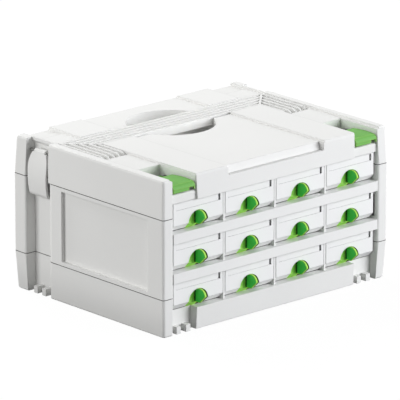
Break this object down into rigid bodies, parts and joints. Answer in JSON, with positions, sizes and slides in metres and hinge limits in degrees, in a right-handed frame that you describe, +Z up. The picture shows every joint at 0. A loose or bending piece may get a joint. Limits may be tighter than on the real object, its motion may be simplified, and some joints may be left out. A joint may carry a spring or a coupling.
{
  "type": "drawer organizer case",
  "caption": "Stackable small-parts case with pull-out drawers behind an open front, a folding handle sunk in the lid, sliding front latches and hanging side latches.",
  "frame": {"origin": "centre of the case's footprint with its grips, on the surface that it stands on", "axes": "+X to the right as seen from the drawers, +Y to the back, +Z up; the drawers open along -Y"},
  "size_m": [0.396, 0.306, 0.21],
  "materials": {
    "case": "fine-grained light grey moulding",
    "rack": "smooth light grey moulding",
    "drawer": "smooth light grey moulding",
    "grip": "satin green moulding",
    "label": "blank pale strip",
    "handle": "ribbed light grey moulding",
    "green_latch": "satin green moulding",
    "grey_latch": "smooth light grey moulding",
    "pin": "smooth grey rod"
  },
  "bodies": {
    "case": {"base_housing": "case", "middle_housing": "case", "top_housing": "case", "floor_shelf": "rack", "lower_shelf": "rack", "upper_shelf": "rack", "handle_pins": "pin", "rear_latch_pin_left": "pin", "rear_latch_pin_right": "pin"},
    "handle": {"handle": "handle"},
    "drawer_r3c1": {"drawer_r3c1": "drawer", "grip_r3c1": "grip", "label_r3c1": "label"},
    "drawer_r3c2": {"drawer_r3c2": "drawer", "grip_r3c2": "grip", "label_r3c2": "label"},
    "drawer_r3c3": {"drawer_r3c3": "drawer", "grip_r3c3": "grip", "label_r3c3": "label"},
    "drawer_r3c4": {"drawer_r3c4": "drawer", "grip_r3c4": "grip", "label_r3c4": "label"},
    "drawer_r2c1": {"drawer_r2c1": "drawer", "grip_r2c1": "grip", "label_r2c1": "label"},
    "drawer_r2c2": {"drawer_r2c2": "drawer", "grip_r2c2": "grip", "label_r2c2": "label"},
    "drawer_r2c3": {"drawer_r2c3": "drawer", "grip_r2c3": "grip", "label_r2c3": "label"},
    "drawer_r2c4": {"drawer_r2c4": "drawer", "grip_r2c4": "grip", "label_r2c4": "label"},
    "drawer_r1c1": {"drawer_r1c1": "drawer", "grip_r1c1": "grip", "label_r1c1": "label"},
    "drawer_r1c2": {"drawer_r1c2": "drawer", "grip_r1c2": "grip", "label_r1c2": "label"},
    "drawer_r1c3": {"drawer_r1c3": "drawer", "grip_r1c3": "grip", "label_r1c3": "label"},
    "drawer_r1c4": {"drawer_r1c4": "drawer", "grip_r1c4": "grip", "label_r1c4": "label"},
    "front_pin_left": {"front_latch_pin_left": "pin"},
    "front_latch_left": {"front_latch_left": "green_latch"},
    "rear_latch_left": {"rear_latch_left": "grey_latch"},
    "front_pin_right": {"front_latch_pin_right": "pin"},
    "front_latch_right": {"front_latch_right": "green_latch"},
    "rear_latch_right": {"rear_latch_right": "grey_latch"}
  },
  "joints": [
    {"name": "handle_hinge", "type": "hinge", "parent": "case", "child": "handle", "pos_m": [0, 0.003, 0.1975], "axis": [1, 0, 0], "range_deg": [0, 90]},
    {"name": "drawer_r3c1_slide", "type": "slide", "parent": "case", "child": "drawer_r3c1", "axis": [0, -1, 0], "range_m": [0, 0.235]},
    {"name": "drawer_r3c2_slide", "type": "slide", "parent": "case", "child": "drawer_r3c2", "axis": [0, -1, 0], "range_m": [0, 0.235]},
    {"name": "drawer_r3c3_slide", "type": "slide", "parent": "case", "child": "drawer_r3c3", "axis": [0, -1, 0], "range_m": [0, 0.235]},
    {"name": "drawer_r3c4_slide", "type": "slide", "parent": "case", "child": "drawer_r3c4", "axis": [0, -1, 0], "range_m": [0, 0.235]},
    {"name": "drawer_r2c1_slide", "type": "slide", "parent": "case", "child": "drawer_r2c1", "axis": [0, -1, 0], "range_m": [0, 0.235]},
    {"name": "drawer_r2c2_slide", "type": "slide", "parent": "case", "child": "drawer_r2c2", "axis": [0, -1, 0], "range_m": [0, 0.235]},
    {"name": "drawer_r2c3_slide", "type": "slide", "parent": "case", "child": "drawer_r2c3", "axis": [0, -1, 0], "range_m": [0, 0.235]},
    {"name": "drawer_r2c4_slide", "type": "slide", "parent": "case", "child": "drawer_r2c4", "axis": [0, -1, 0], "range_m": [0, 0.235]},
    {"name": "drawer_r1c1_slide", "type": "slide", "parent": "case", "child": "drawer_r1c1", "axis": [0, -1, 0], "range_m": [0, 0.235]},
    {"name": "drawer_r1c2_slide", "type": "slide", "parent": "case", "child": "drawer_r1c2", "axis": [0, -1, 0], "range_m": [0, 0.235]},
    {"name": "drawer_r1c3_slide", "type": "slide", "parent": "case", "child": "drawer_r1c3", "axis": [0, -1, 0], "range_m": [0, 0.235]},
    {"name": "drawer_r1c4_slide", "type": "slide", "parent": "case", "child": "drawer_r1c4", "axis": [0, -1, 0], "range_m": [0, 0.235]},
    {"name": "front_pin_left_slide", "type": "slide", "parent": "case", "child": "front_pin_left", "axis": [0, -1, 0], "range_m": [0, 0.054]},
    {"name": "front_latch_left_hinge", "type": "hinge", "parent": "front_pin_left", "child": "front_latch_left", "pos_m": [-0.16, -0.081, 0.1928], "axis": [-1, 0, 0], "range_deg": [0, 90]},
    {"name": "rear_latch_left_hinge", "type": "hinge", "parent": "case", "child": "rear_latch_left", "pos_m": [-0.1883, 0.107, 0.1935], "axis": [0, 1, 0], "range_deg": [0, 135]},
    {"name": "front_pin_right_slide", "type": "slide", "parent": "case", "child": "front_pin_right", "axis": [0, -1, 0], "range_m": [0, 0.054]},
    {"name": "front_latch_right_hinge", "type": "hinge", "parent": "front_pin_right", "child": "front_latch_right", "pos_m": [0.16, -0.081, 0.1928], "axis": [-1, 0, 0], "range_deg": [0, 90]},
    {"name": "rear_latch_right_hinge", "type": "hinge", "parent": "case", "child": "rear_latch_right", "pos_m": [0.1883, 0.107, 0.1935], "axis": [0, -1, 0], "range_deg": [0, 135]}
  ]
}
